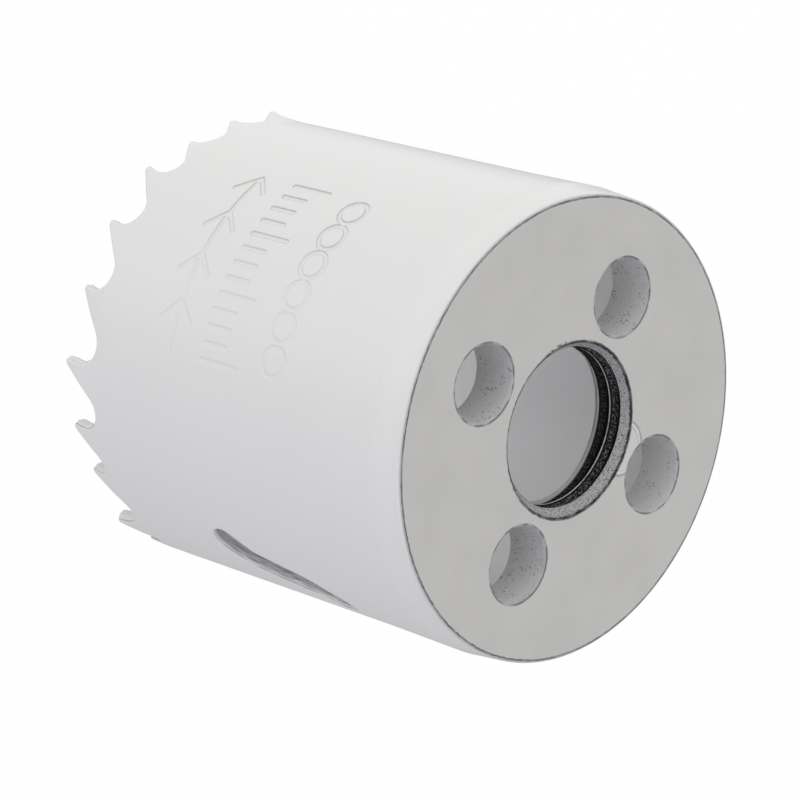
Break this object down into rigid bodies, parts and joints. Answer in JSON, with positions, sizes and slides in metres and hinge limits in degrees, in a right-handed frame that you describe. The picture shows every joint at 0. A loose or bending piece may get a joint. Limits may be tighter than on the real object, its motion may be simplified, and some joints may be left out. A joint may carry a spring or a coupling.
{
  "type": "hole saw",
  "caption": "Bi-metal style hole saw: a painted steel cup with a set, unevenly pitched toothed rim, S-shaped ejector slots and a threaded end plate with drive pin holes.",
  "frame": {"origin": "centre of the cutting circle, in the plane of the tooth tips", "axes": "+Z along the saw's axis from the teeth to the end plate; the drive pin holes lie on X and Y"},
  "size_m": [0.0434, 0.0434, 0.044],
  "materials": {
    "body_paint": "semi-gloss white enamel over steel, thick enough to round the edges",
    "plate_paint": "the same white enamel, satin and slightly rough, worn off the thread"
  },
  "bodies": {
    "root": {"saw_body": "body_paint", "back_plate": "plate_paint"}
  },
  "joints": []
}
